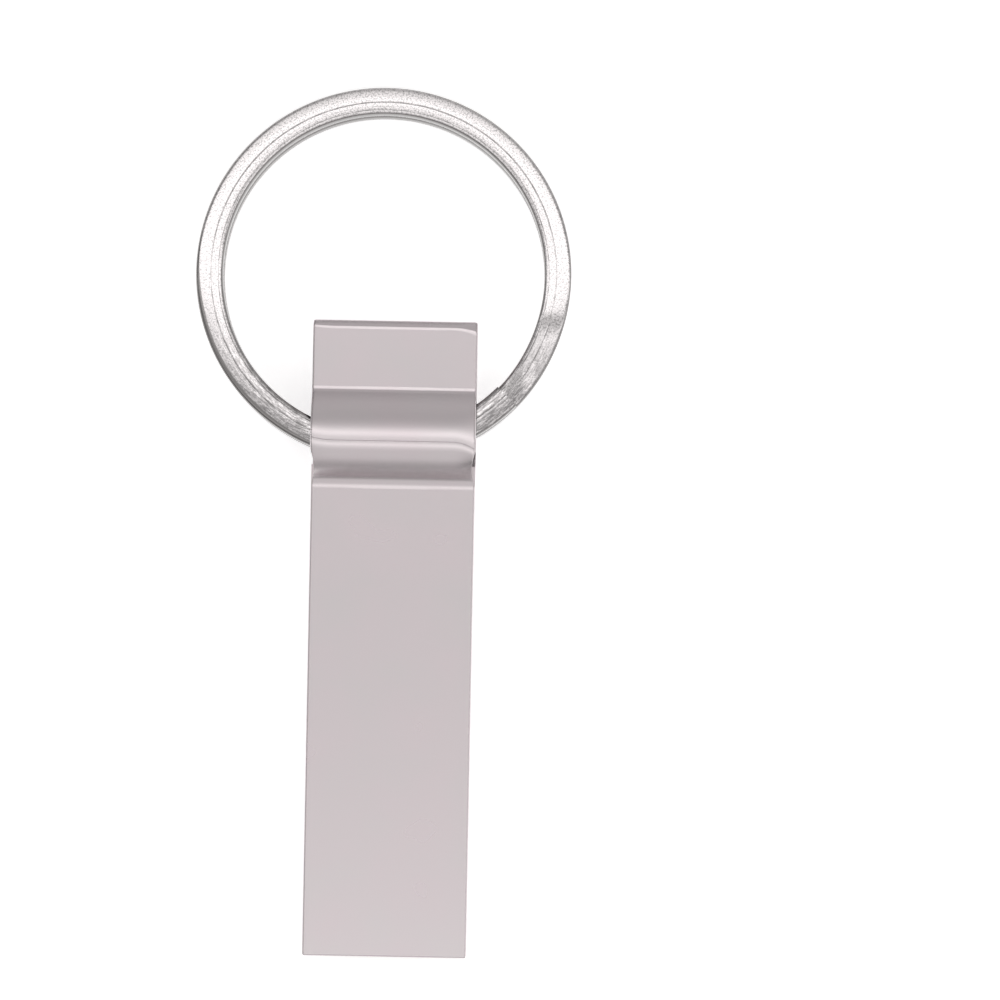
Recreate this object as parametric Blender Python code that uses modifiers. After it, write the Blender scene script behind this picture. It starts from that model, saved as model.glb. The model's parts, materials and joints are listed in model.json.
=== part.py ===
# USB flash drive: a die-cast body that is also the plug's shell, with a wave-shaped eye for a split key
# ring, and a chip-on-board module held in the shell by a tray and a rear cover.
# +X runs across the body, +Y from the plug end to the tip, +Z out of the front face.
# The origin is the middle of the rear cover's outer face, and the drive lies on its back.

import math

import bmesh
import bpy
from mathutils import Vector

MM = 0.001  # every size below is written in millimetres

# Body, measured along Y from the tip end ("from tip") and along Z from the rear plane ("depth")
BODY_WIDTH = 12.2 * MM
BODY_LENGTH = 47.4 * MM
BODY_DEPTH = 4.5 * MM  # a USB-A plug's height
FRONT_WALL = 0.75 * MM
SIDE_WALL = 0.45 * MM
EDGE_RADIUS = 0.2 * MM
PLUG_CORNER_RADIUS = 0.4 * MM
TIP_TO_ORIGIN = 24.0 * MM

# Tip, a little proud of the body's front face, with a rear face that rises like a prow
TIP_DEPTH = 5.1 * MM
TIP_ROUND = 0.55 * MM
TIP_REAR_ROUND = 0.5 * MM
PROW_FROM_TIP = 5.4 * MM
PROW_SLOPE = 55  # degrees, where the prow meets the tip's end

# Wave: one convex lobe with a crease on each side
WAVE_START = 5.0 * MM
WAVE_CREST = 8.95 * MM
WAVE_END = 12.58 * MM
CREST_DEPTH = 6.6 * MM
START_FILLET = 0.55 * MM
END_FILLET = 1.12 * MM
NECK_DEPTH = 0.25 * MM  # how far each side of the lobe is drawn in
NECK_LENGTH = 2.6 * MM
NECK_FROM_TIP = 11.05 * MM
NECK_REAR = 4.0 * MM

# Eye for the ring, straight through along X
EYE_FROM_TIP = 8.4 * MM
EYE_DEPTH = 3.25 * MM
EYE_RADIUS = 2.55 * MM

# Split ring of flat wire, two turns on each other
RING_OUTER = 14.0 * MM
WIRE_WIDTH = 2.0 * MM
WIRE_THICKNESS = 1.35 * MM
WIRE_CORNER = 0.3 * MM
TURN_GAP = 0.08 * MM
RING_SIDE_SHIFT = -1.0 * MM  # the ring hangs a little to the left of the body's centre line
RING_CENTRE_FROM_EYE = 11.82 * MM
RING_STEP = math.radians(8)
JOG_ANGLE = math.radians(-28)  # where the wire steps from one turn to the other
JOG_HALF = math.radians(16)

# Plug's opening, cover and tray
POCKET_FROM_TIP = 12.75 * MM
PLUG_OPENING = 12.35 * MM  # length of the opening behind the contacts
COVER_THICKNESS = 0.4 * MM
TAPE_THICKNESS = 0.1 * MM
SLIDE_GAP = 0.05 * MM  # between a piece and the walls it is pushed between
REST_GAP = 0.01 * MM  # between pieces that rest on each other
LIP_HEIGHT = 2.1 * MM

# Chip-on-board module
MODULE_LENGTH = 24.8 * MM
MODULE_WIDTH = 11.2 * MM
MODULE_INSET = 0.3 * MM  # from the plug's end
CONTACT_DEPTH = 2.25 * MM
SUBSTRATE_THICKNESS = 0.3 * MM
CAP_THICKNESS = 1.08 * MM
CHIP_ROOM = 0.62 * MM  # height of the mould cap's chip spaces
FILM_THICKNESS = 0.03 * MM
DIE_THICKNESS = 0.2 * MM
PAD_THICKNESS = 0.04 * MM
CONTACT_WIDTH = 1.5 * MM

# The cover's inner edge and the module's ends, from the tip
COVER_START = POCKET_FROM_TIP + SLIDE_GAP
COVER_END = BODY_LENGTH - PLUG_OPENING
MODULE_END = BODY_LENGTH - MODULE_INSET
MODULE_START = MODULE_END - MODULE_LENGTH
SUBSTRATE_TOP = CONTACT_DEPTH + SUBSTRATE_THICKNESS
CAP_BASE = SUBSTRATE_TOP + REST_GAP
POCKET_HALF = BODY_WIDTH / 2 - SIDE_WALL
OVERSHOOT = 2 * MM  # how far cutters run past the faces they open

COLLECTION = "usb_flash_drive"
CUTTERS = "cutters"


def y_at(from_tip):
    return TIP_TO_ORIGIN - from_tip


def clear_scene():
    for old in list(bpy.data.objects):
        bpy.data.objects.remove(old, do_unlink=True)


def collection(name, in_render=True):
    made = bpy.data.collections.new(name)
    made.hide_render = not in_render
    bpy.context.scene.collection.children.link(made)
    return made


def material(name, colour, roughness, metallic=0.0):
    made = bpy.data.materials.new(name)
    made.use_nodes = True
    shader = made.node_tree.nodes["Principled BSDF"]
    shader.inputs["Base Color"].default_value = (*colour, 1.0)
    shader.inputs["Roughness"].default_value = roughness
    shader.inputs["Metallic"].default_value = metallic
    return made


def add_object(name, data, finish=None):
    """A new object among the parts, or among the cutters when it has no finish."""
    made = bpy.data.objects.new(name, data)
    if finish is None:
        bpy.data.collections[CUTTERS].objects.link(made)
        made.hide_render = True
        made.display_type = "WIRE"
    else:
        bpy.data.collections[COLLECTION].objects.link(made)
        data.materials.append(finish)
    return made


def box(name, x_range, tip_range, depth_range, finish=None):
    """A box from its spans across the body, from the tip and above the rear plane."""
    low = Vector((x_range[0], y_at(tip_range[1]), depth_range[0]))
    high = Vector((x_range[1], y_at(tip_range[0]), depth_range[1]))
    shape = bmesh.new()
    bmesh.ops.create_cube(shape, size=1.0)
    bmesh.ops.scale(shape, vec=high - low, verts=shape.verts)
    mesh = bpy.data.meshes.new(name)
    shape.to_mesh(mesh)
    shape.free()
    made = add_object(name, mesh, finish)
    made.location = (low + high) / 2
    return made


def centred(width, middle=0.0):
    return (middle - width / 2, middle + width / 2)


def cylinder_cutter(name, radius, length, centre, axis, sides=64):
    shape = bmesh.new()
    bmesh.ops.create_cone(
        shape, cap_ends=True, segments=sides, radius1=radius, radius2=radius, depth=length
    )
    mesh = bpy.data.meshes.new(name)
    shape.to_mesh(mesh)
    shape.free()
    made = add_object(name, mesh)
    made.location = centre
    made.rotation_euler = Vector((0, 0, 1)).rotation_difference(Vector(axis)).to_euler()
    return made


def arc(centre, radius, start, end, steps):
    """Points on a circle from one angle to another, both ends included."""
    angles = [math.radians(start + (end - start) * i / steps) for i in range(steps + 1)]
    return [(centre[0] + radius * math.cos(a), centre[1] + radius * math.sin(a)) for a in angles]


def outline_curve(name, loops, thickness):
    """A flat outline, filled on both sides and given a thickness along its own Z."""
    curve = bpy.data.curves.new(name, "CURVE")
    curve.dimensions = "2D"
    curve.fill_mode = "BOTH"
    curve.extrude = thickness / 2
    for loop in loops:
        spline = curve.splines.new("POLY")
        spline.points.add(len(loop) - 1)
        for point, (u, v) in zip(spline.points, loop):
            point.co = (u, v, 0, 1)
        spline.use_cyclic_u = True
    return curve


def curve_to_mesh(curve, name, place, finish, one_piece_caps=False):
    """The mesh of a curve, closed where its caps meet its sides, as an object at the given place."""
    guide = bpy.data.objects.new(name + "_guide", curve)
    bpy.data.collections[CUTTERS].objects.link(guide)
    guide.location, guide.rotation_euler = place
    bpy.context.view_layer.update()
    evaluated = guide.evaluated_get(bpy.context.evaluated_depsgraph_get())
    mesh = bpy.data.meshes.new_from_object(evaluated)
    shape = bmesh.new()
    shape.from_mesh(mesh)
    bmesh.ops.remove_doubles(shape, verts=shape.verts, dist=0.0005 * MM)
    if one_piece_caps:
        for side in (-1, 1):
            cap = [f for f in shape.faces if f.normal.z * side > 0.999]
            bmesh.ops.dissolve_faces(shape, faces=cap)
    bmesh.ops.recalc_face_normals(shape, faces=shape.faces)
    shape.to_mesh(mesh)
    shape.free()
    mesh.materials.clear()
    made = add_object(name, mesh, finish)
    made.matrix_world = guide.matrix_world
    bpy.data.objects.remove(guide)
    return made


SIDE_ON = (math.radians(90), 0, math.radians(90))  # turns an outline's X, Y, Z to Y, Z, X


def cut(target, cutter):
    modifier = target.modifiers.new("cut_" + cutter.name, "BOOLEAN")
    modifier.operation = "DIFFERENCE"
    modifier.solver = "EXACT"
    modifier.object = cutter


def bevel(target, width, segments, angle=40):
    modifier = target.modifiers.new("edges", "BEVEL")
    modifier.width = width
    modifier.segments = segments
    modifier.limit_method = "ANGLE"
    modifier.angle_limit = math.radians(angle)
    modifier.use_clamp_overlap = False


def flank_slope(width, height, fillet):
    """Slope where a flank's convex run meets its fillet, so that both fill the width and the height."""
    low, high = 0.0, math.radians(80)
    for _ in range(50):
        slope = (low + high) / 2
        run = width - fillet * math.sin(slope)
        rise = run * math.tan(slope) / 2 + fillet * (1 - math.cos(slope))
        low, high = (slope, high) if rise < height else (low, slope)
    return slope


def flank(width, height, fillet, steps=12, fillet_steps=5):
    """Points (distance from the crest, drop below it) of a convex run and the fillet at its foot."""
    slope = flank_slope(width, height, fillet)
    run = width - fillet * math.sin(slope)
    drop = run * math.tan(slope) / 2
    points = [(run * i / steps, drop * (i / steps) ** 2) for i in range(steps + 1)]
    for i in range(1, fillet_steps + 1):
        angle = slope * (1 - i / fillet_steps)
        points.append((width - fillet * math.sin(angle), height - fillet * (1 - math.cos(angle))))
    return points


def body_profile():
    """The body's side view, as (y, z) points from the plug end along the rear, round the tip and back."""
    plug_end = y_at(BODY_LENGTH)
    end_angle = PROW_SLOPE - 90
    prow_foot = y_at(PROW_FROM_TIP)
    inner = (PROW_FROM_TIP - TIP_REAR_ROUND) / math.cos(math.radians(end_angle))
    prow_radius = inner + TIP_REAR_ROUND
    rear_corner = (y_at(TIP_REAR_ROUND), prow_radius + inner * math.sin(math.radians(end_angle)))
    points = [(plug_end, 0.0)]
    points += arc((prow_foot, prow_radius), prow_radius, -90, end_angle, 8)
    points += arc(rear_corner, TIP_REAR_ROUND, end_angle, 0, 4)[1:]
    points += arc((y_at(TIP_ROUND), TIP_DEPTH - TIP_ROUND), TIP_ROUND, 0, 90, 8)
    tip_side = flank(WAVE_CREST - WAVE_START, CREST_DEPTH - TIP_DEPTH, START_FILLET)
    plug_side = flank(WAVE_END - WAVE_CREST, CREST_DEPTH - BODY_DEPTH, END_FILLET)
    crest = y_at(WAVE_CREST)
    points += [(crest + run, CREST_DEPTH - drop) for run, drop in reversed(tip_side)]
    points += [(crest - run, CREST_DEPTH - drop) for run, drop in plug_side[1:]]
    corner = (plug_end + PLUG_CORNER_RADIUS, BODY_DEPTH - PLUG_CORNER_RADIUS)
    points += arc(corner, PLUG_CORNER_RADIUS, 90, 180, 4)
    return points


def make_body_casting(finish):
    curve = outline_curve("body_profile", [body_profile()], BODY_WIDTH)
    body = curve_to_mesh(curve, "body_casting", ((0, 0, 0), SIDE_ON), finish, one_piece_caps=True)
    bevel(body, EDGE_RADIUS, 3)
    pocket = box(
        "plug_pocket_cutter",
        centred(2 * POCKET_HALF),
        (POCKET_FROM_TIP, BODY_LENGTH + OVERSHOOT),
        (-OVERSHOOT, BODY_DEPTH - FRONT_WALL),
    )
    cut(body, pocket)
    eye_centre = (0, y_at(EYE_FROM_TIP), EYE_DEPTH)
    eye = cylinder_cutter("eye_cutter", EYE_RADIUS, BODY_WIDTH + 2 * OVERSHOOT, eye_centre, (1, 0, 0))
    cut(body, eye)
    neck_radius = NECK_LENGTH**2 / (8 * NECK_DEPTH) + NECK_DEPTH / 2
    neck_height = CREST_DEPTH - NECK_REAR + OVERSHOOT
    for side, word in ((-1, "left"), (1, "right")):
        centre = (
            side * (BODY_WIDTH / 2 - NECK_DEPTH + neck_radius),
            y_at(NECK_FROM_TIP),
            NECK_REAR + neck_height / 2,
        )
        name = "neck_cutter_" + word
        cut(body, cylinder_cutter(name, neck_radius, neck_height, centre, (0, 0, 1), 96))
    return body


def wire_section():
    """A flat wire's section, with its corners rounded."""
    half_w = WIRE_WIDTH / 2 - WIRE_CORNER
    half_t = WIRE_THICKNESS / 2 - WIRE_CORNER
    points = []
    for quarter, (u, v) in enumerate(((1, 1), (-1, 1), (-1, -1), (1, -1))):
        start = 90 * quarter
        points += arc((u * half_w, v * half_t), WIRE_CORNER, start, start + 90, 2)
    return points


def ease(t):
    t = min(max(t, 0.0), 1.0)
    return t * t * (3 - 2 * t)


def ring_path():
    """The wire's centre line about the ring's centre: one turn, a jog up, and a second turn."""
    radius = RING_OUTER - WIRE_WIDTH / 2
    lift = WIRE_THICKNESS + TURN_GAP
    start = JOG_ANGLE + JOG_HALF
    sweep = 4 * math.pi - 2 * JOG_HALF
    steps = round(sweep / RING_STEP)
    points = []
    for i in range(steps + 1):
        angle = start + sweep * i / steps
        climb = ease((angle - JOG_ANGLE - 2 * math.pi + JOG_HALF) / (2 * JOG_HALF))
        points.append((radius * math.cos(angle), radius * math.sin(angle), lift * (climb - 0.5)))
    return points


def ring_tilt():
    """How far the ring leans down from the eye until its far side lies on the surface below."""
    half = WIRE_THICKNESS + TURN_GAP / 2
    reach = RING_CENTRE_FROM_EYE + RING_OUTER
    return math.asin(EYE_DEPTH / math.hypot(reach, half)) - math.atan2(half, reach)


def make_split_ring(finish):
    """The ring, with its origin on the axis through the eye that it swings about."""
    section = bpy.data.objects.new("wire_section", outline_curve("wire_section", [wire_section()], 0))
    section.data.fill_mode = "NONE"
    section.hide_render = True
    bpy.data.collections[CUTTERS].objects.link(section)
    curve = bpy.data.curves.new("split_ring", "CURVE")
    curve.dimensions = "3D"
    curve.twist_mode = "Z_UP"
    curve.bevel_mode = "OBJECT"
    curve.bevel_object = section
    curve.use_fill_caps = True
    spline = curve.splines.new("POLY")
    path = ring_path()
    spline.points.add(len(path) - 1)
    for point, (x, y, z) in zip(spline.points, path):
        point.co = (x + RING_SIDE_SHIFT, y + RING_CENTRE_FROM_EYE, z, 1)
    place = ((0, y_at(EYE_FROM_TIP), EYE_DEPTH), (-ring_tilt(), 0, 0))
    ring = curve_to_mesh(curve, "split_ring", place, finish)
    ring.data.shade_smooth()
    ring.data.set_sharp_from_angle(angle=math.radians(40))
    return ring


def make_rear_cover(finish):
    """A plate flush with the body's back, its plug end folded in as a lip that stops the socket."""
    start, end = y_at(COVER_START), y_at(COVER_END)
    t = COVER_THICKNESS
    points = [(start, 0), (start, t), (end + t, t), (end + t, LIP_HEIGHT)]
    points += [(end, LIP_HEIGHT)]
    points += arc((end + t, t), t, 180, 270, 4)
    width = 2 * (POCKET_HALF - SLIDE_GAP)
    curve = outline_curve("rear_cover", [list(reversed(points))], width)
    return curve_to_mesh(curve, "rear_cover", ((0, 0, 0), SIDE_ON), finish)


def rectangle(x_half, y_low, y_high, corner=0.0):
    """A rectangle's outline in plan, with round corners if corner isn't zero."""
    if not corner:
        return [(-x_half, y_low), (x_half, y_low), (x_half, y_high), (-x_half, y_high)]
    points = []
    spots = ((x_half, y_high, 0), (-x_half, y_high, 90), (-x_half, y_low, 180), (x_half, y_low, 270))
    for x, y, start in spots:
        centre = (x - math.copysign(corner, x), y - corner if y == y_high else y + corner)
        points += arc(centre, corner, start, start + 90, 4)
    return points


def flat_piece(name, loops, depth, thickness, finish):
    """A flat outline in plan, with its underside at the given depth."""
    curve = outline_curve(name, loops, thickness)
    return curve_to_mesh(curve, name, ((0, 0, depth + thickness / 2), (0, 0, 0)), finish)


def make_cover_tape(finish):
    """A frame of film round the tray's base."""
    inset, border = 0.4 * MM, 1.2 * MM
    half = POCKET_HALF - SLIDE_GAP - inset
    low, high = y_at(COVER_END - COVER_THICKNESS - inset), y_at(COVER_START + inset)
    outer = rectangle(half, low, high, inset)
    inner = rectangle(half - border, low + border, high - border, inset)
    depth = COVER_THICKNESS + REST_GAP
    return flat_piece("cover_tape", [outer, inner], depth, TAPE_THICKNESS, finish)


def make_carrier_tray(finish):
    """Low under the module, high behind it, and hollowed from the cover's side between its ribs."""
    base = COVER_THICKNESS + TAPE_THICKNESS + 2 * REST_GAP
    shelf = CONTACT_DEPTH - 0.1 * MM
    top = BODY_DEPTH - FRONT_WALL - SLIDE_GAP
    start, end = COVER_START, COVER_END - COVER_THICKNESS - SLIDE_GAP
    step = MODULE_START - 0.1 * MM
    points = [(y_at(end), base), (y_at(start), base), (y_at(start), top)]
    points += [(y_at(step), top), (y_at(step), shelf), (y_at(end), shelf)]
    width = 2 * (POCKET_HALF - SLIDE_GAP)
    curve = outline_curve("carrier_tray", [points], width)
    tray = curve_to_mesh(curve, "carrier_tray", ((0, 0, 0), SIDE_ON), finish)
    rib, skin, cells = 1.0 * MM, 0.5 * MM, 3
    pitch = (end - start - rib) / cells
    for i in range(cells):
        near = start + rib + i * pitch
        far = near + pitch - rib
        ceiling = (top if far < step else shelf) - skin
        room = box(f"tray_room_{i + 1}", centred(width - 2 * rib), (near, far), (-OVERSHOOT, ceiling))
        cut(tray, room)
    return tray


def make_module(board, mould, film, silicon):
    """The board, its chips with their films, and the mould cap over them."""
    half = MODULE_WIDTH / 2
    corner = 0.5 * MM
    plan = [rectangle(half, y_at(MODULE_END), y_at(MODULE_START), corner)]
    flat_piece("module_substrate", plan, CONTACT_DEPTH, SUBSTRATE_THICKNESS, board)
    cap = flat_piece("mould_cap", plan, CAP_BASE, CAP_THICKNESS, mould)

    stack = CAP_BASE
    memory_width, memory_length, shelf = 8.6 * MM, 9.4 * MM, 0.8 * MM
    memory_start = 24.6 * MM
    for level, word in enumerate(("lower", "upper")):
        span = (memory_start + level * shelf, memory_start + level * shelf + memory_length)
        die_base = stack + FILM_THICKNESS + REST_GAP
        box("nand_film_" + word, centred(memory_width), span, (stack, stack + FILM_THICKNESS), film)
        die_top = die_base + DIE_THICKNESS
        box("nand_die_" + word, centred(memory_width), span, (die_base, die_top), silicon)
        stack = die_top + REST_GAP

    control_width, control_start = 3.6 * MM, 36.9 * MM
    control_span = (control_start, control_start + control_width)
    film_top = CAP_BASE + FILM_THICKNESS
    die_range = (film_top + REST_GAP, film_top + REST_GAP + DIE_THICKNESS)
    box("controller_film", centred(control_width), control_span, (CAP_BASE, film_top), film)
    box("controller_die", centred(control_width), control_span, die_range, silicon)

    room_margin = 0.4 * MM
    room_range = (CONTACT_DEPTH, CAP_BASE + CHIP_ROOM)
    memory_end = memory_start + shelf + memory_length
    cut(cap, box(
        "memory_room",
        centred(memory_width + 2 * room_margin),
        (memory_start - room_margin, memory_end + room_margin),
        room_range,
    ))
    cut(cap, box(
        "controller_room",
        centred(control_width + 2 * room_margin),
        (control_start - room_margin, control_start + control_width + room_margin),
        room_range,
    ))
    return cap


def make_small_parts(cap, ceramic, resistor, can):
    """Chip capacitors, resistors and the crystal, each in a space of its own in the mould cap."""
    tall, low = 0.5 * MM, 0.35 * MM
    parts = [
        # name, middle across, middle from tip, size across, size along, height, finish
        ("crystal", -3.9 * MM, 37.6 * MM, 1.6 * MM, 2.0 * MM, tall, can),
        ("capacitor_1", -3.9 * MM, 40.4 * MM, 0.5 * MM, 1.0 * MM, tall, ceramic),
        ("capacitor_2", 3.6 * MM, 37.3 * MM, 0.8 * MM, 1.6 * MM, tall, ceramic),
        ("capacitor_3", 3.6 * MM, 40.2 * MM, 0.8 * MM, 1.6 * MM, tall, ceramic),
        ("capacitor_4", 0.0 * MM, 43.4 * MM, 1.0 * MM, 0.5 * MM, tall, ceramic),
        ("resistor_1", -2.4 * MM, 43.4 * MM, 1.0 * MM, 0.5 * MM, low, resistor),
        ("resistor_2", 2.4 * MM, 43.4 * MM, 1.0 * MM, 0.5 * MM, low, resistor),
    ]
    margin = 0.15 * MM
    for name, x, from_tip, across, along, height, finish in parts:
        span = centred(along, from_tip)
        box(name, centred(across, x), span, (CAP_BASE, CAP_BASE + height), finish)
        cut(cap, box(
            name + "_room",
            centred(across + 2 * margin, x),
            (span[0] - margin, span[1] + margin),
            (CONTACT_DEPTH, CAP_BASE + height + margin / 3),
        ))


def make_contacts(gold):
    """The plug's four contacts, the outer pair longer and nearer the end, and the factory's test pads."""
    top = CONTACT_DEPTH - REST_GAP
    spans = (top - PAD_THICKNESS, top)
    contacts = [
        # name, middle across, distance of the front end from the plug's end, length
        ("contact_vbus", -3.5 * MM, 1.2 * MM, 8.6 * MM),
        ("contact_data_minus", -1.0 * MM, 2.2 * MM, 7.6 * MM),
        ("contact_data_plus", 1.0 * MM, 2.2 * MM, 7.6 * MM),
        ("contact_ground", 3.5 * MM, 1.2 * MM, 8.6 * MM),
    ]
    for name, x, inset, length in contacts:
        low = y_at(BODY_LENGTH - inset)
        outline = rectangle(CONTACT_WIDTH / 2, low, low + length, 0.3 * MM)
        pad = flat_piece(name, [outline], spans[0], PAD_THICKNESS, gold)
        pad.location.x = x
    pad_size = 1.0 * MM
    for i in range(4):
        x = (i - 1.5) * 2.4 * MM
        box(f"test_pad_{i + 1}", centred(pad_size, x), centred(pad_size, 29.0 * MM), spans, gold)


def make_module_tape(finish):
    margin = 0.6 * MM
    base = CAP_BASE + CAP_THICKNESS + REST_GAP
    thickness = BODY_DEPTH - FRONT_WALL - base - REST_GAP
    outline = rectangle(
        MODULE_WIDTH / 2 - margin, y_at(MODULE_END - margin), y_at(MODULE_START + margin), margin
    )
    return flat_piece("module_tape", [outline], base, thickness, finish)


def main():
    clear_scene()
    collection(COLLECTION)
    collection(CUTTERS, in_render=False)
    satin_nickel = material("satin_nickel_plate", (0.60, 0.56, 0.56), 0.34, 1.0)
    ring_nickel = material("tumbled_nickel_plate", (0.72, 0.71, 0.70), 0.28, 1.0)
    black_abs = material("black_abs", (0.015, 0.015, 0.017), 0.45)
    mould = material("epoxy_mould", (0.02, 0.02, 0.02), 0.6)
    board = material("solder_mask", (0.012, 0.014, 0.013), 0.35)
    gold = material("gold_plate", (0.80, 0.60, 0.25), 0.25, 1.0)
    silicon = material("silicon", (0.20, 0.21, 0.24), 0.2, 0.6)
    film = material("adhesive_film", (0.65, 0.60, 0.45), 0.5)
    ceramic = material("capacitor_ceramic", (0.45, 0.34, 0.24), 0.5)
    resistor = material("resistor_glaze", (0.03, 0.03, 0.035), 0.4)
    can = material("crystal_can", (0.70, 0.70, 0.68), 0.3, 1.0)

    make_body_casting(satin_nickel)
    make_split_ring(ring_nickel)
    make_rear_cover(satin_nickel)
    make_cover_tape(film)
    make_carrier_tray(black_abs)
    cap = make_module(board, mould, film, silicon)
    make_small_parts(cap, ceramic, resistor, can)
    make_contacts(gold)
    make_module_tape(film)


main()
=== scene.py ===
# USB flash drive with a key ring: the looks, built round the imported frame
import json
import math

import bmesh
import bpy
from mathutils import Matrix, Vector


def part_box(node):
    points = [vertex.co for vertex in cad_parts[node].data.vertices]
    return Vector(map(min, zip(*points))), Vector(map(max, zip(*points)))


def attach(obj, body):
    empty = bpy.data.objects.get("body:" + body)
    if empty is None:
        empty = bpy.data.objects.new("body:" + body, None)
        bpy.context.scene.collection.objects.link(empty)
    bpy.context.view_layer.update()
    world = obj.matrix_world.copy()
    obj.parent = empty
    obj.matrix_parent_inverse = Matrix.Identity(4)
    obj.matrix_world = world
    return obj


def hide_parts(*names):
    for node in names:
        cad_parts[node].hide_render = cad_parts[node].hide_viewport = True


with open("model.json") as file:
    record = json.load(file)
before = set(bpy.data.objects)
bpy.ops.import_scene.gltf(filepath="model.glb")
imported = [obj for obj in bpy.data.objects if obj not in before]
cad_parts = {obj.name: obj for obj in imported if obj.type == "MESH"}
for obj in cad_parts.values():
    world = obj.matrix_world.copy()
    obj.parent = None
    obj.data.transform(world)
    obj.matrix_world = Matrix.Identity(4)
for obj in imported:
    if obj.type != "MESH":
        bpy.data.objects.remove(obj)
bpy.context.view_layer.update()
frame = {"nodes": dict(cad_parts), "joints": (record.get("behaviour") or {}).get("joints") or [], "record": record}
mm = 0.001

bodyLow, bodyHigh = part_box("body_casting")
bodyWidth = bodyHigh.x - bodyLow.x
plugEnd, tipEnd = bodyLow.y, bodyHigh.y
swing = frame["joints"][0]
eyeCentre = Vector(swing["pos_m"])
print("frame loaded:", len(frame["nodes"]), "nodes")


# meshes
def linkMesh(name, shape):
    mesh = bpy.data.meshes.new(name)
    shape.to_mesh(mesh)
    shape.free()
    piece = bpy.data.objects.new(name, mesh)
    bpy.context.scene.collection.objects.link(piece)
    return piece


def applyModifiers(piece):
    bpy.context.view_layer.update()
    evaluated = piece.evaluated_get(bpy.context.evaluated_depsgraph_get())
    mesh = bpy.data.meshes.new_from_object(evaluated)
    piece.modifiers.clear()
    piece.data = mesh
    return piece


def cutWith(piece, cutters):
    for cutter in cutters:
        cut = piece.modifiers.new(cutter.name, "BOOLEAN")
        cut.operation, cut.solver, cut.object = "DIFFERENCE", "EXACT", cutter
    applyModifiers(piece)
    for cutter in cutters:
        bpy.data.objects.remove(cutter, do_unlink=True)
    return piece


def smooth(piece, angle=35, weighted=False):
    piece.data.shade_smooth()
    piece.data.set_sharp_from_angle(angle=math.radians(angle))
    if weighted:
        # large faces keep their own flat shading, and only the small ones beside them turn
        modifier = piece.modifiers.new("weighted", "WEIGHTED_NORMAL")
        modifier.mode, modifier.weight, modifier.keep_sharp = "FACE_AREA", 100, True
        applyModifiers(piece)


def finishPiece(piece, material, body, slot, *nodes):
    piece.data.materials.clear()
    piece.data.materials.append(material)
    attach(piece, body)
    if nodes:
        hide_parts(*nodes)
    return piece


def blockShape(low, high):
    low, high = Vector(low), Vector(high)
    shape = bmesh.new()
    bmesh.ops.create_cube(shape, size=1.0)
    bmesh.ops.scale(shape, vec=high - low, verts=shape.verts)
    bmesh.ops.translate(shape, vec=(low + high) / 2, verts=shape.verts)
    return shape


# materials
def linear(hexColour):
    values = [int(hexColour[i:i + 2], 16) / 255 for i in (1, 3, 5)]
    return (*[v / 12.92 if v <= 0.04045 else ((v + 0.055) / 1.055) ** 2.4 for v in values], 1.0)


def addNode(tree, kind, settings=None, links=None):
    # a link comes from a socket, or from a node, which then gives its first output
    node = tree.nodes.new(kind)
    for key, value in (settings or {}).items():
        if isinstance(key, int) or key in node.inputs:
            node.inputs[key].default_value = value
        else:
            setattr(node, key, value)
    for key, source in (links or {}).items():
        socket = source.outputs[0] if isinstance(source, bpy.types.Node) else source
        tree.links.new(socket, node.inputs[key])
    return node


def startMaterial(name, **values):
    material = bpy.data.materials.new(name)
    material.use_nodes = True
    tree = material.node_tree
    shader = tree.nodes["Principled BSDF"]
    for key, value in values.items():
        shader.inputs[key].default_value = value
    return material, tree, shader


def objectPoint(tree, centre=(0, 0, 0), turn=(0, 0, 0)):
    # object coordinates about a centre, turned back by the piece's own lean
    coordinate = addNode(tree, "ShaderNodeTexCoord").outputs["Object"]
    moved = addNode(tree, "ShaderNodeVectorMath", {"operation": "SUBTRACT", 1: centre}, {0: coordinate})
    return addNode(tree, "ShaderNodeMapping", {"Rotation": turn}, {"Vector": moved})


def grainAt(tree, point, size, detail=3.0, rough=0.5, stretch=(1, 1, 1)):
    # an uneven pattern whose features are about `size` metres across
    scaled = addNode(tree, "ShaderNodeMapping", {"Scale": stretch}, {"Vector": point})
    return addNode(tree, "ShaderNodeTexNoise", {"Scale": 1 / size, "Detail": detail, "Roughness": rough},
                   {"Vector": scaled})


def straightRuns(tree, value, stops):
    # a value from 0 to 1 looked up in straight runs between the stops
    ramp = addNode(tree, "ShaderNodeFloatCurve", None, {"Value": value})
    curve = ramp.mapping.curves[0]
    while len(curve.points) < len(stops):
        curve.points.new(0.5, 0.5)
    for point, stop in zip(curve.points, stops):
        point.location = stop
        point.handle_type = "VECTOR"
    ramp.mapping.update()
    return ramp


def finishSurface(tree, shader, s, tone, gloss, relief, contrast=(0.3, 0.7)):
    # one pattern drives the colour, one the roughness, and one the small dents
    limits = {"From Min": contrast[0], "From Max": contrast[1]}
    share = addNode(tree, "ShaderNodeMapRange", limits, {"Value": tone})
    colours = {"data_type": "RGBA", 6: linear(s["first"]), 7: linear(s["second"])}
    colour = addNode(tree, "ShaderNodeMix", colours, {0: share}).outputs[2]
    low, high = s["roughness"]
    rough = addNode(tree, "ShaderNodeMapRange", {**limits, "To Min": low, "To Max": high}, {"Value": gloss})
    dents = addNode(tree, "ShaderNodeBump", {"Strength": 1.0, "Distance": s["depth"]}, {"Height": relief})
    tree.links.new(colour, shader.inputs["Base Color"])
    tree.links.new(rough.outputs[0], shader.inputs["Roughness"])
    tree.links.new(dents.outputs[0], shader.inputs["Normal"])


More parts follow.
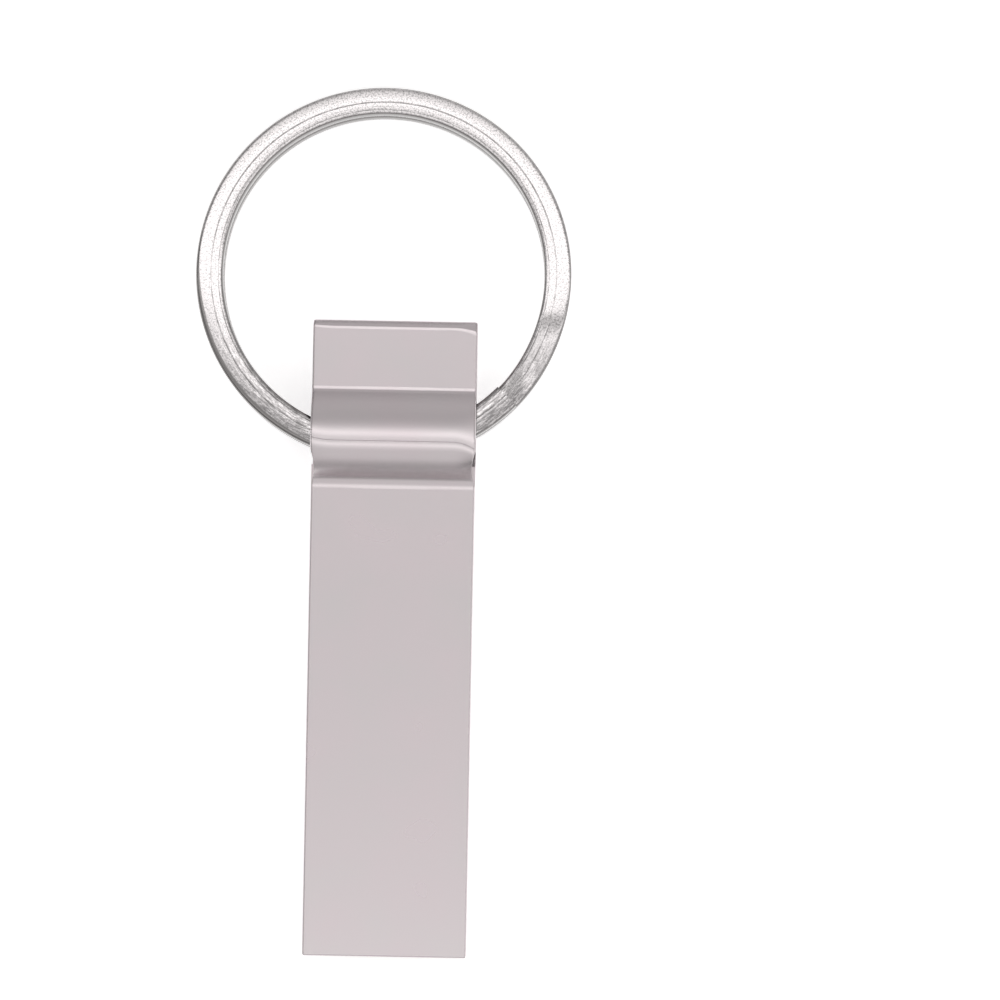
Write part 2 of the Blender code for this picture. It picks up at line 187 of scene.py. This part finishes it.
satinFinish = {
    "first": "#d8d3d4",  # pearl nickel drifts between neutral grey and a faint pink cast
    "second": "#dad0d3",
    "cloudSize": 5 * mm,  # slow drift left by the plating bath
    "grainSize": 0.11 * mm,  # bead-blast grain under the plate, a little coarser than real so that it shows
    "depth": 0.0010 * mm,
    "roughness": (0.25, 0.28),
    "contrast": (0.15, 0.85),
}


def makeSatinNickel():
    # satin nickel plate over bead-blasted die-cast zinc: soft, even reflections with a fine grain
    s = satinFinish
    material, tree, shader = startMaterial("satinNickelPlate", Metallic=1.0)
    point = objectPoint(tree)
    cloud = grainAt(tree, point, s["cloudSize"], 2.0)
    grain = grainAt(tree, point, s["grainSize"], 2.0, 0.6)
    finishSurface(tree, shader, s, cloud, cloud, grain, s["contrast"])
    return material


ringSettings = {
    "sectionWidth": 2.0 * mm,
    "wireThickness": 1.35 * mm,
    "turnGap": 0.08 * mm,
    "cornerRadius": 0.28 * mm,
    "outerRadius": 14.0 * mm,
    "sideShift": -1.0 * mm,
    "centreFromEye": 11.82 * mm,
    "jogAngle": -28,
    "jogHalf": 16,
    "stepAngle": 2.0,
    "jogSteps": 16,
    "mergeWithin": 0.0005 * mm,
    "sharpAngle": 50,
}


def ringLean():
    # the angle at which the far side of the ring reaches the surface the drive lies on
    s = ringSettings
    half = s["wireThickness"] + s["turnGap"] / 2
    reach = s["centreFromEye"] + s["outerRadius"]
    return math.asin(eyeCentre.z / math.hypot(reach, half)) - math.atan2(half, reach)


def ringPlace():
    s = ringSettings
    lean = Matrix.Rotation(-ringLean(), 4, "X")
    return (Matrix.Translation(eyeCentre) @ lean
            @ Matrix.Translation((s["sideShift"], s["centreFromEye"], 0)))


ringFinish = {
    "light": "#e7e4e4",
    "dark": "#b2b0b0",
    "edge": "#8f8d8c",  # painted shade: the wire's edges and walls are painted darker than its faces
    "edgeBand": (0.87 * mm, 0.93 * mm),  # distance from the wire's middle line where the painted edge shade starts and where it is full
    "wideShadeBand": 0.30 * mm,  # how much broader the painted shade on the outer edge gets on one side of the ring
    "wideSide": (-0.82, -0.57),  # direction of that side, across and along the drive
    "wideSpan": (0.72, 0.98),  # where the broadening starts and ends that way, in middle-line radii
    "worn": "#949292",
    "wornFrom": (-1.5 * mm, -9.5 * mm),  # the wear grows towards the drive
    "wornContrast": (0.36, 0.60),
    "grooves": ((-0.68, 0.05), (-0.12, 0.06)),  # drawing marks: place and half width, in half widths
    "grooveDepth": 0.012 * mm,
    "grooveShadeContrast": (0.40, 0.60),  # the grooves darken in streaks: painted shade and dirt in them
    "grainSize": 0.14 * mm,  # small dents from tumbling, under the bright plate
    "grainDepth": 0.0035 * mm,
    "grainContrast": (0.36, 0.52),
    "streakSize": 0.15 * mm,
    "streakStretch": 0.16,  # the streaks run along the wire
    "lineSize": 0.12 * mm,  # lines drawn along the wire
    "lineDepth": 0.004 * mm,
    "roughness": (0.12, 0.20),
    "roughContrast": (0.35, 0.65),
}


def makeRingNickel():
    # bright nickel plate over tumbled steel wire: near-white faces, painted shade on the edges and walls, wear
    # near the drive
    s = ringFinish
    half = ringSettings["sectionWidth"] / 2
    middle = ringSettings["outerRadius"] - half
    material, tree, shader = startMaterial("tumbledNickelPlate", Metallic=1.0)
    point = objectPoint(tree, ringPlace().translation, (ringLean(), 0, 0))
    x, y, _ = addNode(tree, "ShaderNodeSeparateXYZ", None, {"Vector": point}).outputs

    # distance from the ring's centre, from the wire's middle line, and along the wire
    ySquared = addNode(tree, "ShaderNodeMath", {"operation": "MULTIPLY"}, {0: y, 1: y})
    squared = addNode(tree, "ShaderNodeMath", {"operation": "MULTIPLY_ADD"}, {0: x, 1: x, 2: ySquared})
    radius = addNode(tree, "ShaderNodeMath", {"operation": "SQRT"}, {0: squared})
    offset = addNode(tree, "ShaderNodeMath", {"operation": "SUBTRACT", 1: middle}, {0: radius})
    angle = addNode(tree, "ShaderNodeMath", {"operation": "ARCTAN2"}, {0: y, 1: x})
    along = addNode(tree, "ShaderNodeMath", {"operation": "MULTIPLY", 1: middle}, {0: angle})
    across = addNode(tree, "ShaderNodeCombineXYZ", None, {"X": radius})
    unrolled = addNode(tree, "ShaderNodeCombineXYZ", None, {"X": radius, "Y": along})

    lines = grainAt(tree, across, s["lineSize"], 2.0, 0.7)
    grain = grainAt(tree, point, s["grainSize"], 3.0, 0.65)
    streaks = grainAt(tree, unrolled, s["streakSize"], 3.0, 0.7, (1, s["streakStretch"], 1))

    # how far a point lies towards the wide side, and how much that adds to the painted shade on the outer edge
    sideX, sideY = s["wideSide"]
    alongSide = addNode(tree, "ShaderNodeMath", {"operation": "MULTIPLY", 1: sideY}, {0: y})
    towards = addNode(tree, "ShaderNodeMath", {"operation": "MULTIPLY_ADD", 1: sideX}, {0: x, 2: alongSide})
    start, end = s["wideSpan"]
    wider = addNode(tree, "ShaderNodeMapRange",
                    {"From Min": start * middle, "From Max": end * middle, "To Max": s["wideShadeBand"]},
                    {"Value": towards})
    widened = addNode(tree, "ShaderNodeMath", {"operation": "ADD"}, {0: offset, 1: wider})

    # each share runs from 0 to 1 between its two limits
    near, far = s["edgeBand"]
    shares = []
    for value, start, end in ((offset, -half, half), (widened, near, far), (offset, -near, -far),
                              (y, *s["wornFrom"]), (streaks, *s["wornContrast"]),
                              (streaks, *s["grooveShadeContrast"]), (grain, *s["grainContrast"])):
        shares.append(addNode(tree, "ShaderNodeMapRange", {"From Min": start, "From Max": end},
                              {"Value": value}))
    width, outer, inner, worn, wornStreaks, grooveShadeStreaks, speckle = shares

    stops = [(0.0, 1.0)]
    for place, reach in s["grooves"]:
        place, reach = (place + 1) / 2, reach / 2
        stops += [(place - reach, 1.0), (place, 0.0), (place + reach, 1.0)]
    groove = straightRuns(tree, width, stops + [(1.0, 1.0)])
    sunk = addNode(tree, "ShaderNodeMath", {"operation": "SUBTRACT", 0: 1.0}, {1: groove})

    flecks = addNode(tree, "ShaderNodeMath", {"operation": "MULTIPLY"}, {0: wornStreaks, 1: worn})
    # painted shade and dirt: the grooves are darkened in streaks
    grooveShadeAndDirt = addNode(tree, "ShaderNodeMath", {"operation": "MULTIPLY"}, {0: sunk, 1: grooveShadeStreaks})
    # painted shade: the edges and walls of the wire are darkened
    edge = addNode(tree, "ShaderNodeMath", {"operation": "MAXIMUM"}, {0: outer, 1: inner})
    colours = {"data_type": "RGBA", 6: linear(s["dark"]), 7: linear(s["light"])}
    colour = addNode(tree, "ShaderNodeMix", colours, {0: speckle}).outputs[2]
    for factor, tone in ((flecks, s["worn"]), (grooveShadeAndDirt, s["edge"]), (edge, s["edge"])):
        colour = addNode(tree, "ShaderNodeMix", {"data_type": "RGBA", 7: linear(tone)},
                         {0: factor, 6: colour}).outputs[2]
    tree.links.new(colour, shader.inputs["Base Color"])

    (low, high), (start, end) = s["roughness"], s["roughContrast"]
    rough = addNode(tree, "ShaderNodeMapRange",
                    {"From Min": start, "From Max": end, "To Min": low, "To Max": high}, {"Value": grain})
    tree.links.new(rough.outputs[0], shader.inputs["Roughness"])

    normal = {}
    for height, depth in ((lines, s["lineDepth"]), (grain, s["grainDepth"]), (groove, s["grooveDepth"])):
        dents = addNode(tree, "ShaderNodeBump", {"Strength": 1.0, "Distance": depth},
                        {"Height": height, **normal})
        normal = {"Normal": dents}
    tree.links.new(dents.outputs[0], shader.inputs["Normal"])
    return material


coverFinish = {
    "first": "#cbc8c8",
    "second": "#d9d6d5",
    "brushSize": 0.08 * mm,  # width of a brushed line
    "brushStretch": 0.03,
    "cloudSize": 5 * mm,
    "depth": 0.0015 * mm,
    "roughness": (0.26, 0.36),
}


def makeBrushedCover():
    # stamped stainless sheet with a lengthwise brushed grain
    s = coverFinish
    material, tree, shader = startMaterial("brushedStainlessSheet", Metallic=1.0)
    point = objectPoint(tree)
    brush = grainAt(tree, point, s["brushSize"], 3.0, 0.6, (1, s["brushStretch"], 1))
    cloud = grainAt(tree, point, s["cloudSize"], 2.0)
    finishSurface(tree, shader, s, brush, cloud, brush)
    return material


goldFinish = {
    "first": "#e3bd62",
    "second": "#f0cf7c",
    "wipeSize": 0.06 * mm,  # width of a mark that a socket's spring leaves
    "wipeStretch": 0.04,
    "cloudSize": 1.5 * mm,
    "depth": 0.0008 * mm,
    "roughness": (0.16, 0.32),
}


def makeContactGold():
    # hard gold plate on copper, with the fine lengthwise marks that socket springs leave
    s = goldFinish
    material, tree, shader = startMaterial("hardGoldPlate", Metallic=1.0)
    point = objectPoint(tree)
    wipe = grainAt(tree, point, s["wipeSize"], 2.0, 0.6, (1, s["wipeStretch"], 1))
    cloud = grainAt(tree, point, s["cloudSize"], 2.0)
    finishSurface(tree, shader, s, cloud, wipe, wipe)
    return material


def makePlain(name, dark, light, roughness, patternSize, depth, **values):
    # the inner pieces share one build: a mottled colour, roughness and bump of their own scale
    material, tree, shader = startMaterial(name, **values)
    grain = grainAt(tree, objectPoint(tree), patternSize, 3.0, 0.6)
    s = {"first": dark, "second": light, "roughness": roughness, "depth": depth}
    finishSurface(tree, shader, s, grain, grain, grain)
    return material


# the casting
castingSettings = {
    "tipDepth": 5.1 * mm,
    "bodyDepth": 4.5 * mm,
    # the tip's front edge, from its end face up: radius of each rounding and the slope it ends at
    "tipEdge": ((0.22 * mm, 48), (1.5 * mm, 64), (0.24 * mm, 83.2)),
    "tipRearRound": 0.5 * mm,
    "prowFromTip": 5.4 * mm,
    "prowSlope": 55,
    "plugCorner": 0.19 * mm,
    "waveStart": 5.05 * mm,
    "waveCrest": 9.05 * mm,
    "waveEnd": 12.58 * mm,
    "startFillet": 0.55 * mm,
    "endFillet": 1.12 * mm,
    "creaseFacet": (0.15 * mm, 6.8),  # a narrow facet, and its slope, where each edge meets a flat
    "hold": 0.04 * mm,  # keeps the shading of a flat even right up to its edge
    "neckDepth": 0.25 * mm,
    "neckLength": 2.6 * mm,
    "neckFromTip": 11.05 * mm,
    "neckRear": 4.0 * mm,
    "neckCutHeight": 6 * mm,
    "eyeHeight": 3.25 * mm,
    "eyeRadius": 2.55 * mm,
    "eyeOvershoot": 2 * mm,  # how far the cutters stand out of the casting
    "pocketOvershoot": 1 * mm,
    "pocketHalf": 5.65 * mm,
    "pocketFromTip": 12.75 * mm,
    "frontWall": 0.75 * mm,
    "edgeRadius": 0.17 * mm,
    "ridgeLine": (0.06 * mm, 0.022 * mm),  # half width and depth of the witness line along the crest
    "tipRollReach": 0.8 * mm,  # how far back from the tip's end its rounding is spread
    "tipRoll": (0.82, 1.0, 1.65),  # how far the tip's rounding spreads: left end, middle, right end
    "crestDrift": (0.22 * mm, 0.0, -0.55 * mm),  # where the crest wanders to: left end, middle, right end
    "tipTrim": 0.10 * mm,  # how far the tip's end stops short of the CAD's
    "crestReach": 2.6 * mm,  # how far from the crest its drift is felt
    "wanderDepth": 0.3 * mm,  # how far below the body's front face the wandering goes
    "endZone": 1.7 * mm,  # how close to a side the wandering starts
    "stations": (0.12, 0.25, 0.4, 0.6, 0.85, 1.1, 1.4, 1.8, 2.4, 3.6),  # mm in from each side's bevel
}


def arc(centre, radius, start, end, steps):
    angles = [math.radians(start + (end - start) * i / steps) for i in range(steps + 1)]
    return [(centre[0] + radius * math.cos(a), centre[1] + radius * math.sin(a)) for a in angles]


def tipEdge():
    s = castingSettings
    points = [(tipEnd, 0.0)]
    turned = 0
    for radius, slope in s["tipEdge"]:
        y, z = points[-1]
        angle = math.radians(turned)
        centre = (y - radius * math.cos(angle), z - radius * math.sin(angle))
        points += arc(centre, radius, turned, slope, 7)[1:]
        turned = slope
    y, z = points[-1]
    facet, tilt = s["creaseFacet"][0], math.radians(90 - turned)
    y, z = y - facet * math.cos(tilt), z + facet * math.sin(tilt)
    points += [(y, z), (y - s["hold"], z)]
    return [(py, pz + s["tipDepth"] - z) for py, pz in points]


def flank(width, height, fillet, steps=28, filletSteps=10):
    # (distance from the crest, drop below it): a convex run, the fillet at its foot, then a narrow facet.
    # The slope where the run meets the fillet is found by halving
    facet, tilt = castingSettings["creaseFacet"]
    tilt = math.radians(tilt)
    low, high = tilt, math.radians(80)
    for _ in range(50):
        slope = (low + high) / 2
        run = width - facet - fillet * (math.sin(slope) - math.sin(tilt))
        rise = run * math.tan(slope) / 2 + fillet * (math.cos(tilt) - math.cos(slope))
        rise += facet * math.tan(tilt)
        low, high = (slope, high) if rise < height else (low, slope)
    drop = run * math.tan(slope) / 2
    points = [(run * i / steps, drop * (i / steps) ** 2) for i in range(steps + 1)]
    centre = (width - facet + fillet * math.sin(tilt),
              height - facet * math.tan(tilt) - fillet * math.cos(tilt))
    for i in range(1, filletSteps + 1):
        angle = slope + (tilt - slope) * i / filletSteps
        points.append((centre[0] - fillet * math.sin(angle), centre[1] + fillet * math.cos(angle)))
    return points + [(width, height), (width + castingSettings["hold"], height)]


def castingOutline():
    s = castingSettings
    top = bodyHigh.z
    endAngle = s["prowSlope"] - 90
    foot = tipEnd - s["prowFromTip"]
    inner = (s["prowFromTip"] - s["tipRearRound"]) / math.cos(math.radians(endAngle))
    prow = inner + s["tipRearRound"]
    rearCorner = (tipEnd - s["tipRearRound"], prow + inner * math.sin(math.radians(endAngle)))
    points = [(plugEnd, 0.0)]
    points += arc((foot, prow), prow, -90, endAngle, 24)
    points += arc(rearCorner, s["tipRearRound"], endAngle, 0, 6)[1:]
    points += tipEdge()
    tipSide = flank(s["waveCrest"] - s["waveStart"], top - s["tipDepth"], s["startFillet"])
    plugSide = flank(s["waveEnd"] - s["waveCrest"], top - s["bodyDepth"], s["endFillet"])
    crest = tipEnd - s["waveCrest"]
    ridge = s["ridgeLine"][0]
    # the crest is flat for a little more than the witness line, which wander sinks into it
    flatEnd = ridge * 1.6
    points += [(crest + run, top - drop) for run, drop in reversed(tipSide) if run > flatEnd]
    points += [(crest + ridge * share, top) for share in (1.5, 1, 0.5, 0, -0.5, -1, -1.5)]
    points += [(crest - run, top - drop) for run, drop in plugSide if run > flatEnd]
    corner = (plugEnd + s["plugCorner"], s["bodyDepth"] - s["plugCorner"])
    points += arc(corner, s["plugCorner"], 90, 180, 6)
    return points


def easeAlong(x, values):
    # a value that holds its middle across the width and eases to an end value near each side
    s = castingSettings
    left, middle, right = values
    near = (abs(x) - bodyWidth / 2 + s["endZone"]) / s["endZone"]
    ease = max(0.0, min(1.0, near)) ** 2
    return middle + ((right if x > 0 else left) - middle) * ease


def wander(shape):
    # near the sides the tip's rounding spreads and the crest drifts.
    # The witness line is sunk along the crest, except in the side faces, which stay flat
    s = castingSettings
    crest = tipEnd - s["waveCrest"]
    for vert in shape.verts:
        x, y, z = vert.co
        if z < s["bodyDepth"] - s["wanderDepth"]:
            continue
        if y > tipEnd - s["tipRollReach"] - 1e-7:
            vert.co.y = tipEnd - s["tipTrim"] - (tipEnd - y) * easeAlong(x, s["tipRoll"])
        ridge, groove = s["ridgeLine"]
        if abs(x) < bodyWidth / 2 - 1e-6:
            vert.co.z = z - groove * max(0.0, 1 - abs(y - crest) / ridge)
        away = abs(y - crest) / s["crestReach"]
        if away < 1:
            vert.co.y = y + easeAlong(x, s["crestDrift"]) * (1 - away * away) ** 2


def makeCasting(material):
    s = castingSettings
    half = bodyWidth / 2
    shape = bmesh.new()
    side = shape.faces.new([shape.verts.new((-half, y, z)) for y, z in castingOutline()])
    grown = bmesh.ops.extrude_face_region(shape, geom=[side], use_keep_orig=True)
    moved = [v for v in grown["geom"] if isinstance(v, bmesh.types.BMVert)]
    bmesh.ops.translate(shape, vec=(bodyWidth, 0, 0), verts=moved)
    bmesh.ops.recalc_face_normals(shape, faces=shape.faces)
    rims = [e for e in shape.edges if abs(e.verts[0].co.x - e.verts[1].co.x) < 1e-9]
    bmesh.ops.bevel(shape, geom=rims, offset=s["edgeRadius"], segments=5, profile=0.5,
                    affect="EDGES", material=-1)
    bmesh.ops.recalc_face_normals(shape, faces=shape.faces)
    for inset in s["stations"]:
        for side in (-1, 1):
            cut = (side * (half - s["edgeRadius"] - inset * mm), 0, 0)
            bmesh.ops.bisect_plane(shape, geom=shape.verts[:] + shape.edges[:] + shape.faces[:],
                                   dist=1e-8, plane_co=cut, plane_no=(1, 0, 0))
    wander(shape)
    casting = linkMesh("casting", shape)

    over = s["pocketOvershoot"]
    pocket = blockShape((-s["pocketHalf"], plugEnd - over, -over),
                        (s["pocketHalf"], tipEnd - s["pocketFromTip"], s["bodyDepth"] - s["frontWall"]))
    eye = bmesh.new()
    bmesh.ops.create_cone(eye, cap_ends=True, segments=128, radius1=s["eyeRadius"],
                          radius2=s["eyeRadius"], depth=bodyWidth + 2 * s["eyeOvershoot"])
    bmesh.ops.rotate(eye, matrix=Matrix.Rotation(math.radians(90), 3, "Y"), verts=eye.verts)
    bmesh.ops.translate(eye, vec=(0, eyeCentre.y, s["eyeHeight"]), verts=eye.verts)
    cutters = [linkMesh("pocketCutter", pocket), linkMesh("eyeCutter", eye)]
    neckRadius = s["neckLength"] ** 2 / (8 * s["neckDepth"]) + s["neckDepth"] / 2
    for side in (-1, 1):
        neck = bmesh.new()
        bmesh.ops.create_cone(neck, cap_ends=True, segments=180, radius1=neckRadius,
                              radius2=neckRadius, depth=s["neckCutHeight"])
        place = (side * (half - s["neckDepth"] + neckRadius), tipEnd - s["neckFromTip"],
                 s["neckRear"] + s["neckCutHeight"] / 2)
        bmesh.ops.translate(neck, vec=place, verts=neck.verts)
        cutters.append(linkMesh("neckCutter", neck))
    cutWith(casting, cutters)
    smooth(casting, weighted=True)
    return finishPiece(casting, material, "drive", "satin_nickel", "body_casting")


# the ring
def makeRing(material):
    s = ringSettings
    middle = s["outerRadius"] - s["sectionWidth"] / 2
    lift = s["wireThickness"] + s["turnGap"]
    shape = bmesh.new()
    bmesh.ops.create_grid(shape, x_segments=1, y_segments=1, size=0.5)
    bmesh.ops.scale(shape, vec=(s["sectionWidth"], s["wireThickness"], 1), verts=shape.verts)
    bmesh.ops.bevel(shape, geom=shape.verts[:], offset=s["cornerRadius"], segments=5,
                    profile=0.5, affect="VERTICES", material=-1)
    bmesh.ops.rotate(shape, matrix=Matrix.Rotation(math.radians(90), 3, "X"), verts=shape.verts)
    bmesh.ops.translate(shape, vec=(middle, 0, -lift / 2), verts=shape.verts)
    start = math.radians(s["jogAngle"] + s["jogHalf"])
    bmesh.ops.rotate(shape, cent=(0, 0, 0), matrix=Matrix.Rotation(start, 3, "Z"), verts=shape.verts)
    section = shape.faces[:] + shape.edges[:] + shape.verts[:]

    def sweep(geom, degrees, steps, rise):
        done = bmesh.ops.spin(shape, geom=geom, cent=(0, 0, 0), axis=(0, 0, 1), dvec=(0, 0, rise),
                              angle=math.radians(degrees), steps=steps, use_duplicate=False)
        return done["geom_last"]

    turn = 360 - 2 * s["jogHalf"]
    turnSteps = round(turn / s["stepAngle"])
    section = sweep(section, turn, turnSteps, 0)
    climbed = 0.0
    for i in range(1, s["jogSteps"] + 1):
        t = i / s["jogSteps"]
        climb = lift * t * t * (3 - 2 * t)
        section = sweep(section, 2 * s["jogHalf"] / s["jogSteps"], 1, climb - climbed)
        climbed = climb
    sweep(section, turn, turnSteps, 0)
    bmesh.ops.remove_doubles(shape, verts=shape.verts, dist=s["mergeWithin"])
    bmesh.ops.recalc_face_normals(shape, faces=shape.faces)
    bmesh.ops.transform(shape, matrix=ringPlace(), verts=shape.verts)
    ring = linkMesh("keyRing", shape)
    smooth(ring, s["sharpAngle"])
    return finishPiece(ring, material, "ring", "bright_nickel", "split_ring")


# camera and light
cameraSettings = {
    "sensorWidth": 36,
    "clip": (0.01, 10),
    "height": 0.26,  # above the front face
    "frameWidth": 74.30 * mm,  # what the view spans at the front face
    "rightOfCentre": 7.99 * mm,
    "belowTip": 13.26 * mm,
    "roll": 1.10,  # the drive lies a degree off the view's upright
}


def makeCamera():
    s = cameraSettings
    data = bpy.data.cameras.new("camera")
    camera = bpy.data.objects.new("camera", data)
    bpy.context.scene.collection.objects.link(camera)
    data.sensor_width = s["sensorWidth"]
    data.lens = s["sensorWidth"] * s["height"] / s["frameWidth"]
    data.clip_start, data.clip_end = s["clip"]
    camera.location = (s["rightOfCentre"], tipEnd - s["belowTip"],
                       castingSettings["bodyDepth"] + s["height"])
    camera.rotation_euler = (0, 0, math.radians(s["roll"]))
    bpy.context.scene.camera = camera


lightSettings = {
    "colour": "#fffdfd",
    "backdrop": 0.88,  # brightness of the plain backdrop that the camera sees
    # a light tent: how bright it is at each angle from straight up, towards the plug and towards the tip
    "tent": ((-90, 0.42), (-75, 0.55), (-67, 0.80), (-50, 0.78), (-34, 0.74), (-20, 1.05), (-15, 1.70),
             (-11, 1.10), (-7, 0.79), (0, 0.66), (6, 0.69), (9, 1.0), (11.2, 1.8), (16, 1.7), (20, 0.95),
             (28, 0.6), (40, 0.50), (64, 0.62), (75, 0.5), (90, 0.38)),
    # what is left of that at each angle towards the left and the right
    "sides": ((-90, 0.35), (-60, 0.45), (-30, 0.8), (-12, 1.0), (12, 1.0), (30, 0.95), (60, 0.75), (90, 0.6)),
}


def angleRamp(tree, across, up, stops):
    # brightness by the angle between straight up and a direction, in the plane of `across` and `up`
    angle = addNode(tree, "ShaderNodeMath", {"operation": "ARCTAN2"}, {0: across, 1: up})
    share = addNode(tree, "ShaderNodeMapRange", {"From Min": -math.pi / 2, "From Max": math.pi / 2},
                    {"Value": angle})
    top = max(level for _, level in stops)
    curve = straightRuns(tree, share, [(degrees / 180 + 0.5, level / top) for degrees, level in stops])
    return addNode(tree, "ShaderNodeMath", {"operation": "MULTIPLY", 1: top}, {0: curve})


def makeLights():
    s = lightSettings
    world = bpy.data.worlds.new("lightTent")
    world.use_nodes = True
    tree = world.node_tree
    background = tree.nodes["Background"]
    background.inputs["Color"].default_value = linear(s["colour"])
    towards = addNode(tree, "ShaderNodeTexCoord").outputs["Generated"]
    x, y, z = addNode(tree, "ShaderNodeSeparateXYZ", None, {"Vector": towards}).outputs
    up = addNode(tree, "ShaderNodeMath", {"operation": "ABSOLUTE"}, {0: z})
    tent = angleRamp(tree, y, up, s["tent"])
    sides = angleRamp(tree, x, up, s["sides"])
    # the tent lights and mirrors; looked at directly, the studio is one plain pale backdrop
    seen = addNode(tree, "ShaderNodeLightPath").outputs["Is Camera Ray"]
    both = addNode(tree, "ShaderNodeMath", {"operation": "MULTIPLY"}, {0: tent, 1: sides})
    strength = addNode(tree, "ShaderNodeMix", {3: s["backdrop"]}, {0: seen, 2: both})
    tree.links.new(strength.outputs[0], background.inputs["Strength"])
    bpy.context.scene.world = world


floorSettings = {
    "size": 3.0,
    "first": "#f7f7f7",
    "second": "#fbfbfb",
    "grainSize": 0.4 * mm,
    "roughness": 0.9,
    "glow": 0.56,  # light that the floor gives off
}


def makeFloor():
    # a lit acrylic table: even white with only a trace of contact shadow
    s = floorSettings
    shape = bmesh.new()
    bmesh.ops.create_grid(shape, x_segments=1, y_segments=1, size=s["size"])
    floor = linkMesh("floor", shape)
    material, tree, shader = startMaterial("opalAcrylic", Roughness=s["roughness"])
    shader.inputs["Specular IOR Level"].default_value = 0.0
    shader.inputs["Emission Color"].default_value = linear("#ffffff")
    shader.inputs["Emission Strength"].default_value = s["glow"]
    grain = grainAt(tree, objectPoint(tree), s["grainSize"], 2.0)
    colours = {"data_type": "RGBA", 6: linear(s["first"]), 7: linear(s["second"])}
    colour = addNode(tree, "ShaderNodeMix", colours, {0: grain}).outputs[2]
    tree.links.new(colour, shader.inputs["Base Color"])
    floor.data.materials.append(material)


bpy.context.scene.view_settings.view_transform = "Standard"
makeCamera()
makeLights()
makeFloor()
print("camera, lights and floor made")

makeCasting(makeSatinNickel())
print("casting made")
makeRing(makeRingNickel())
print("ring made")

finishes = {
    "cover_steel": makeBrushedCover(),
    "gold_plate": makeContactGold(),
    "black_abs": makePlain("sparkErodedAbs", "#131315", "#1b1b1d", (0.42, 0.6), 0.12 * mm, 0.004 * mm),
    "epoxy_mould": makePlain("mouldedEpoxy", "#19191a", "#222223", (0.5, 0.7), 0.08 * mm, 0.003 * mm),
    "solder_mask": makePlain("blackSolderMask", "#0e1211", "#161b19", (0.22, 0.38), 0.3 * mm,
                             0.002 * mm, **{"Coat Weight": 0.4}),
    "silicon": makePlain("polishedSilicon", "#5b5f6b", "#6a6e7a", (0.1, 0.2), 0.5 * mm, 0.0002 * mm,
                         Metallic=0.8),
    "adhesive_film": makePlain("acrylicFilm", "#b9ad8d", "#cabf9f", (0.4, 0.6), 0.6 * mm, 0.001 * mm),
    "capacitor_ceramic": makePlain("firedCeramic", "#8a6d50", "#9c7f60", (0.4, 0.6), 0.1 * mm,
                                   0.002 * mm),
    "resistor_glaze": makePlain("blackGlaze", "#141416", "#1d1d20", (0.2, 0.4), 0.1 * mm, 0.001 * mm),
    "crystal_can": makePlain("nickelLid", "#b5b4b0", "#c7c6c2", (0.25, 0.4), 0.15 * mm, 0.001 * mm,
                             Metallic=1.0),
}
for part in frame["record"]["subparts"]:
    node = frame["nodes"][part["node"]]
    finish = finishes.get(part["material_slot"])
    if finish:
        node.data.materials.clear()
        node.data.materials.append(finish)
        node.data.shade_smooth()
        node.data.set_sharp_from_angle(angle=math.radians(30))
print("carried-over nodes finished")
